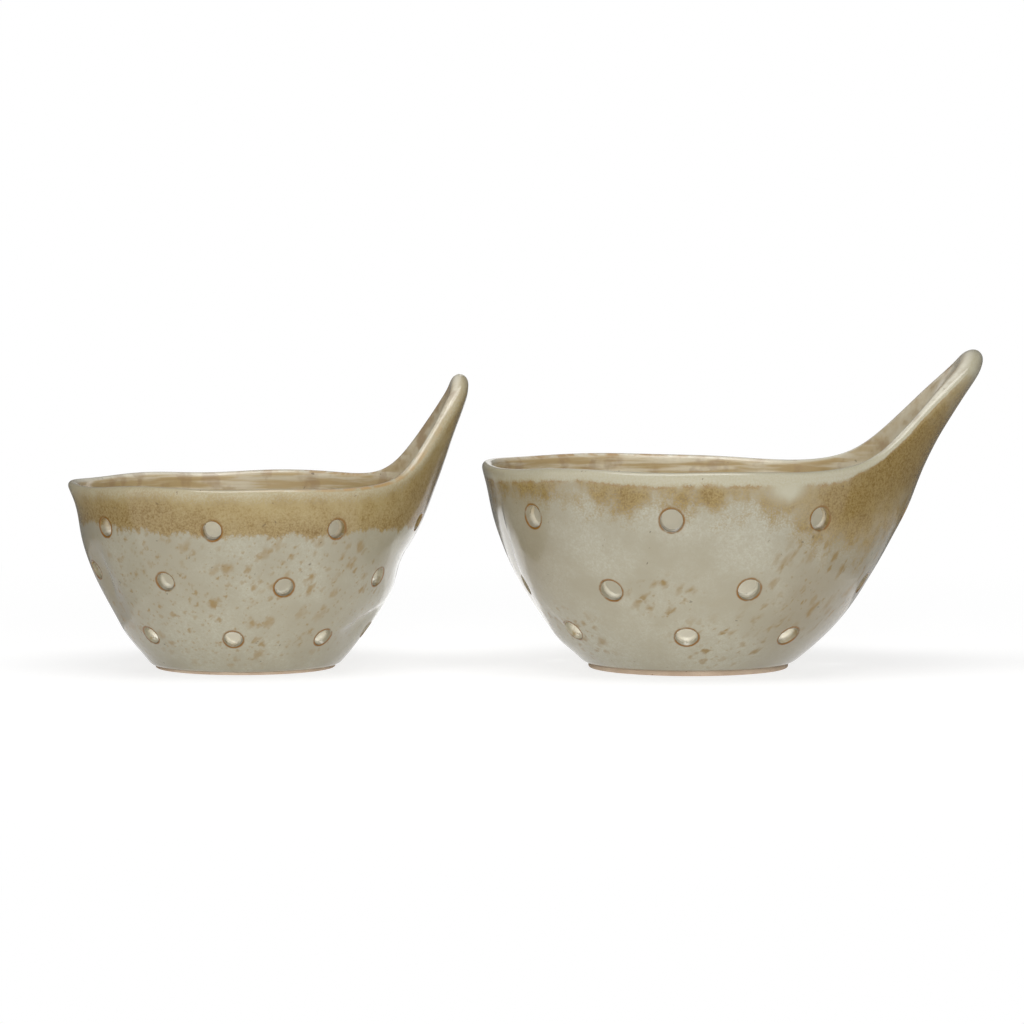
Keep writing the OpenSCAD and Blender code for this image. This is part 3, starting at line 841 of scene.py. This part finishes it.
def finishShader(shader, place, colour, gloss, depth):
    skin = effect("skin", place, gloss=gloss)
    waves = {"Height": skin["Height"], "Distance": depth * mm, "Strength": 1.0}
    bump = put(place.id_data, "ShaderNodeBump", waves).outputs[0]
    fill(shader, {"Base Color": colour, "Roughness": skin["Roughness"], "Normal": bump})


def layersGiven(place):  # maps and clouds that the layers of glaze share
    given = {"place": place}
    for name in mapNames:
        given[name] = put(place.id_data, "ShaderNodeAttribute", attribute_name=name).outputs["Fac"]
    for name in ("mottle", "patch"):
        given[name] = effect("mottle", place, **glaze[name])
    drift = scaled(given["patch"]["Cloud"], *glaze["thinDrift"])
    given["thin"] = ramp(calc("ADD", given["pale"], drift), *glaze["thinEnds"])
    return given


def creamGround(look, tone, given, grain=0.45, blotch=0.4, stain=0.6, gather=(0.02, 0.45)):  # with tan flecks
    mottle = given["mottle"]
    cream = laid(tone["creamDeep"], tone["cream"], mottle["Cloud"])
    cream = laid(cream, tone["creamDeep"], mottle["Grain"], grain)
    cream = laid(cream, tone["creamDeep"], given["patch"]["Grain"], blotch)
    # painted shade: the cream is darkened on the sides of the bowl, where the light falls off
    cream = laid(cream, tone["stain"], given["stained"], stain)
    gathered = ramp(given["flecky"], *gather)
    for cell, stretch, share, strength in look["fleckSizes"]:
        sizes = {"cell": cell, "stretch": stretch, "share": share}
        flecks = effect("flecks", given["place"], **sizes, **glaze["flecks"])
        cream = laid(cream, tone["fleck"], flecks["Mask"], gathered, strength)
    return cream


def pouredTan(look, tone, given, cream, pool=0.55, halo=(3.5, 0.3), haloShare=0.35, deepest=0.7, blotch=0.28):
    # second glaze over the cream, thin where pale
    mottle, patch, deep, thin = (given[k] for k in ("mottle", "patch", "deep", "thin"))
    form = {"run": given["run"], **{k: look[k] for k in ("drip", "soft", "spread")}}
    pour = effect("run", given["place"], cloud=patch["Cloud"], grain=mottle["Grain"], **form)
    ringed = times(ramp(given["holeGap"], *halo), haloShare)
    tan = laid(tone["tan"], tone["tanDeep"], pour["Pool"], pool)
    tan = laid(tan, tone["tanDeep"], patch["Cloud"], look["deepShare"])
    tan = laid(tan, tone["tanDeep"], calc("MAXIMUM", times(deep, deepest), ringed))
    tan = laid(tan, tone["tanPale"], mottle["Grain"], look["grainShare"])
    tan = laid(tan, tone["tanPale"], patch["Grain"], blotch)
    washed = scaled(times(without(patch["Cloud"]), without(deep)), -look["wash"], 1.0)
    ground = laid(cream, tone["rim"], thin, pour["Mask"])
    return laid(ground, tan, pour["Mask"], washed, without(thin))


def paleRim(look, tone, given, outside, swing=1.2, grain=0.15, lineDown=0.5):  # over a brown line
    mottle = given["mottle"]
    wave = scaled(given["patch"]["Cloud"], swing, -swing / 2 - look["band"])
    wave = scaled(calc("SUBTRACT", mottle["Grain"], 0.5), look["bandGrain"], wave)
    narrow = scaled(given["raised"], look["narrow"], 1.0)  # on the handle
    below = scaled(given["lipGap"], narrow, wave)
    rim = laid(tone["rim"], tone["tan"], mottle["Grain"], grain)
    outside = laid(outside, rim, ramp(below, look["bandSoft"], -look["bandSoft"]))
    line = effect("break", given["place"], gap=calc("SUBTRACT", below, lineDown), **glaze["rimLine"])
    return laid(outside, tone["line"], line["Mask"], look["brownLine"], without(given["thin"]))


insideForm = {
    "blotch": 0.3, "streaks": (26.0, 26.0, 2.4), "streakDetail": 3.0, "streakEnds": (0.34, 0.6),
    "streakShare": (0.65, 0.3), "handleShare": (0.5, 0.25), "tanLow": (26.0, 5.0), "tanTop": (0.2, 1.8),
    "tanShare": 0.9, "blotLow": (26.0, 6.0), "blotEnds": (0.55, 1.05), "blotShare": 0.4,
}


def insideGlaze(tone, given, form=insideForm):  # cool cream, tan streaks round the top
    patch, lip = given["patch"], given["lipGap"]
    # the inner cream is partly painted light: paler than the outside, standing for the light from above
    within = laid(tone["insideCool"], tone["inside"], given["mottle"]["Cloud"])
    within = laid(within, tone["insideCool"], patch["Grain"], form["blotch"])
    streaks = cloud(stretched(given["place"], *form["streaks"]), 1.0, form["streakDetail"])
    bands = scaled(ramp(streaks, *form["streakEnds"]), *form["streakShare"])
    washes = between(given["raised"], bands, scaled(patch["Cloud"], *form["handleShare"]))
    low, top, blotLow = (ramp(lip, *form[k]) for k in ("tanLow", "tanTop", "blotLow"))
    within = laid(within, tone["insideTan"], washes, low, top, form["tanShare"])
    blots = ramp(patch["Cloud"], *form["blotEnds"])
    return laid(within, tone["insideBrown"], blotLow, blots, form["blotShare"])


def brokenEdges(tone, given, colour, lipDown=0.5, lipShare=0.8, face=(0.16, 0.06), lower=(0.15, 0.85)):
    # amber where the glaze thins over the lip and round the holes
    place = given["place"]
    lip = effect("break", place, gap=calc("SUBTRACT", given["lipGap"], lipDown), **glaze["lipLine"])
    colour = laid(colour, tone["lipAmber"], lip["Mask"], given["lipTone"], lipShare)
    onFace, below = ramp(given["inside"], *face), scaled(given["holeUnder"], *lower)
    for shade, form in glaze["rings"].items():
        ring = effect("break", place, gap=given["holeGap"], **form)
        colour = laid(colour, tone[shade], ring["Mask"], onFace, below)
    return colour


def glazeMaterial(look):
    material, shader, place = newMaterial(look["name"])
    tone = {name: srgb(colour) for name, colour in {**glaze["tones"], **look["tones"]}.items()}
    given = layersGiven(place)
    outside = pouredTan(look, tone, given, creamGround(look, tone, given))
    outside = paleRim(look, tone, given, outside)
    onInside = ramp(given["inside"], *glaze["insideEnds"])
    colour = brokenEdges(tone, given, laid(outside, insideGlaze(tone, given), onInside))
    specks = effect("flecks", place, **glaze["specks"])
    colour = laid(colour, tone["speck"], specks["Mask"], glaze["speckShare"])
    finishShader(shader, place, colour, glaze["gloss"], glaze["waviness"])
    return material


footClay = {
    # pale and deep are the bare clay, partly painted light: set lighter to lift the shade under the foot
    "pale": (206, 188, 168), "deep": (186, 164, 142), "grog": (140, 112, 86),
    "rough": 0.7, "depth": 0.25, "specular": 0.2,
    "mottle": {"coarse": 12.0, "fine": 0.6}, "grainShare": 0.4, "grogShare": 0.7,
    "grains": {"cell": 2.6, "stretch": 1.0, "slant": 0.0, "share": 0.4, "radius": 0.2, "soft": 0.4},
}


def clayMaterial(look):
    material, shader, place = newMaterial("footClay")
    pale, deep, dark = (srgb(look[k]) for k in ("pale", "deep", "grog"))
    mottle = effect("mottle", place, **look["mottle"])
    colour = laid(deep, pale, mottle["Cloud"])
    colour = laid(colour, deep, mottle["Grain"], look["grainShare"])
    grog = effect("flecks", place, **look["grains"])
    colour = laid(colour, dark, grog["Mask"], look["grogShare"])
    finishShader(shader, place, colour, look["rough"], look["depth"])
    fill(shader, {"Specular IOR Level": look["specular"]})
    return material


def showPiece(bowl, part, mesh, maps):
    for label, values in maps.items():
        setPointValues(mesh, label, values)
    setPoints(mesh, stood(bowl, pointsOf(mesh)))
    piece = addObject(bowl["name"] + part.capitalize(), mesh)
    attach(piece, bowl["name"] + "_bowl")
    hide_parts(bowl["name"] + "_" + part)
    print(piece.name, "made:", len(mesh.polygons), "faces")


def addWall(tree, bowl, look, settings):  # pierced wall, and the handle that is let into it
    whole = punched(tree, collarMesh(bowl), wallMarks(bowl), settings)
    dress(whole, settings["Finish"])
    tube = pointsOf(whole)
    setPointValues(whole, "skinNormal", skinNormals(bowl, tube), "FLOAT_VECTOR")
    setPoints(whole, pressed(bowl, tube))
    weld(whole)
    cuts = (("wall", "DIFFERENCE", "cream_glaze"), ("handle", "INTERSECT", bowl["handleSlot"]))
    for part, operation, slot in cuts:
        mesh = cutBy(whole, seatCutter(bowl), operation)
        keepNormals(mesh, whole, bowl)
        mesh.attributes.remove(mesh.attributes["skinNormal"])
        showPiece(bowl, part, mesh, wallMaps(bowl, look, pointsOf(mesh)))


def addFloor(tree, bowl, bare, settings):  # slab of bare clay, glazed on top inside the wall
    ownSettings = {**settings, "Depth": clay["floor"], "Rolled": False, "Finish": bare}
    slab = punched(tree, floorMesh(bowl), floorMarks(bowl), ownSettings)
    dress(slab, bare, settings["Finish"])
    for p in slab.polygons:
        onTop = p.center.z > -clay["floor"] / 2
        p.material_index = int(onTop and hypot(p.center.x, p.center.y) < plugR(bowl))
    maps = floorMaps(bowl, pointsOf(slab))
    setPoints(slab, pointsOf(slab) + np.array((0.0, 0.0, clay["floor"])))
    showPiece(bowl, "floor", slab, maps)


punchNodes = punchTree()
bareClay = clayMaterial(footClay)
for bowl, look in ((largeBowl, largeGlaze), (smallBowl, smallGlaze)):
    readFrame(bowl)
    wallSettings = {
        "Hole Diameter": bowl["hole"] - 2 * clay["holeRound"], "Edge Round": clay["holeRound"],
        "Depth": clay["wall"], "Rolled": True, "Roll Radius": collar["radius"], "Finish": glazeMaterial(look),
    }
    addWall(punchNodes, bowl, look, wallSettings)
    addFloor(punchNodes, bowl, bareClay, wallSettings)

# Plain white floor that keeps the shadow and fades into the backdrop
stage = {
    "reach": 6.0, "fadeFrom": 0.12, "fadeTo": 0.6, "albedo": 0.85, "shade": 0.34, "lift": 0.76, "glow": 0.3,
    "sky": 0.12,
}


def seenRays(tree):  # camera, glossy and transmitted rays see white
    path = put(tree, "ShaderNodeLightPath").outputs
    seen = calc("MAXIMUM", path["Is Camera Ray"], path["Is Glossy Ray"])
    return calc("MAXIMUM", seen, path["Is Transmission Ray"])


def emptyMaterial(name):
    material = bpy.data.materials.new(name)
    material.use_nodes = True
    material.node_tree.nodes.clear()
    return material, material.node_tree


def light(tree, strength):
    return put(tree, "ShaderNodeEmission", {"Strength": strength}).outputs[0]


def matt(tree, grey, lift):  # diffuse grey with a glow of its own
    diffuse = put(tree, "ShaderNodeBsdfDiffuse", {"Color": (grey, grey, grey, 1.0)}).outputs[0]
    return put(tree, "ShaderNodeAddShader", {0: diffuse, 1: light(tree, lift)}).outputs[0]


def floorMaterial():
    material, tree = emptyMaterial("studioFloor")
    lit, near = matt(tree, stage["albedo"], stage["glow"]), matt(tree, stage["shade"], stage["lift"])
    place = put(tree, "ShaderNodeTexCoord").outputs["Object"]
    away = put(tree, "ShaderNodeVectorMath", {0: place}, operation="LENGTH").outputs["Value"]
    fade = ramp(away, stage["fadeFrom"], stage["fadeTo"])
    shown = put(tree, "ShaderNodeMixShader", {0: fade, 1: near, 2: light(tree, 1.0)}).outputs[0]
    both = put(tree, "ShaderNodeMixShader", {0: seenRays(tree), 1: lit, 2: shown}).outputs[0]
    put(tree, "ShaderNodeOutputMaterial", {"Surface": both})
    return material


def addStageMesh(name, points, faces, finish):
    mesh = newMesh(name, points, faces)
    mesh.materials.append(finish)
    made = addObject(name, mesh)
    return made


reach = stage["reach"]
floorCorners = [(-reach, -reach, 0), (reach, -reach, 0), (reach, reach, 0), (-reach, reach, 0)]
addStageMesh("studioFloor", floorCorners, [(0, 1, 2, 3)], floorMaterial())

# Studio cards that only reflections see: grey at the sides, for the glaze's edges on white, and bright behind
cards = {
    "radius": 0.32, "height": 0.6, "span": (6.0, 105.0), "steps": 16, "sideGlow": 0.16,
    "lap": 0.19, "lapSpan": (38.0, 105.0), "lapGlow": 0.5,
    "backLow": (-0.17, 0.06), "backHigh": (0.06, 0.34), "backGlow": 1.5, "clear": 0.0005,
}


def addCard(name, points, faces, glow):
    finish, tree = emptyMaterial(name)
    put(tree, "ShaderNodeOutputMaterial", {"Surface": light(tree, glow)})
    card = addStageMesh(name, points, faces, finish)
    card.visible_camera = card.visible_diffuse = card.visible_shadow = False


def addCurvedCard(name, side, span, edge, glow):  # round the bowls, from the side card's foot to another edge
    foot, steps = (cards["radius"], cards["clear"]), cards["steps"]
    turns = [radians(span[0] + (span[1] - span[0]) * k / steps) for k in range(steps + 1)]
    points = [(side * r * sin(t), r * cos(t), z) for t in turns for r, z in (foot, edge)]
    addCard(name, points, [tuple(2 * k + c for c in (0, 2, 3, 1)) for k in range(steps)], glow)


sideTop, lapEdge = (cards["radius"], cards["height"]), (cards["lap"], cards["clear"])
for label, side in (("right", 1), ("left", -1)):
    addCurvedCard(label + "SideCard", side, cards["span"], sideTop, cards["sideGlow"])
    addCurvedCard(label + "FloorCard", side, cards["lapSpan"], lapEdge, cards["lapGlow"])
(x0, y0), (x1, y1) = cards["backLow"], cards["backHigh"]
backCorners = [(x, y, cards["clear"]) for x, y in ((x0, y0), (x1, y0), (x1, y1), (x0, y1))]
addCard("backCard", backCorners, [(0, 1, 2, 3)], cards["backGlow"])

world = bpy.data.worlds.new("studio")
bpy.context.scene.world = world
world.use_nodes = True
skyLevel = scaled(seenRays(world.node_tree), 1 - stage["sky"], stage["sky"])
fill(world.node_tree.nodes["Background"], {"Color": (1, 1, 1, 1), "Strength": skyLevel})

# Softboxes: reflections see only the overhead one, since the low panels would glare in the rims
lampTarget = (0.0, 0.0, 0.05)
softboxes = {
    "overhead": {"size": (1.0, 0.6), "place": (0.0, -0.25, 1.25), "power": 9.0, "shines": True},
    "front": {"size": (0.9, 0.5), "place": (0.0, -1.9, 0.26), "power": 20.0, "shines": False},
    "back": {"size": (0.9, 0.5), "place": (0.0, 1.9, 0.4), "power": 14.0, "shines": False},
}
for name, box in softboxes.items():
    lamp = bpy.data.lights.new(name + "Softbox", "AREA")
    lamp.shape, lamp.energy = "RECTANGLE", box["power"]
    lamp.size, lamp.size_y = box["size"]
    lampObject = addObject(name + "Softbox", lamp)
    lampObject.location = box["place"]
    lampObject.rotation_euler = facing(box["place"], lampTarget)
    lampObject.visible_camera = False
    lampObject.visible_glossy = box["shines"]
bpy.context.scene.view_settings.view_transform = "Standard"
print("floor and light set")
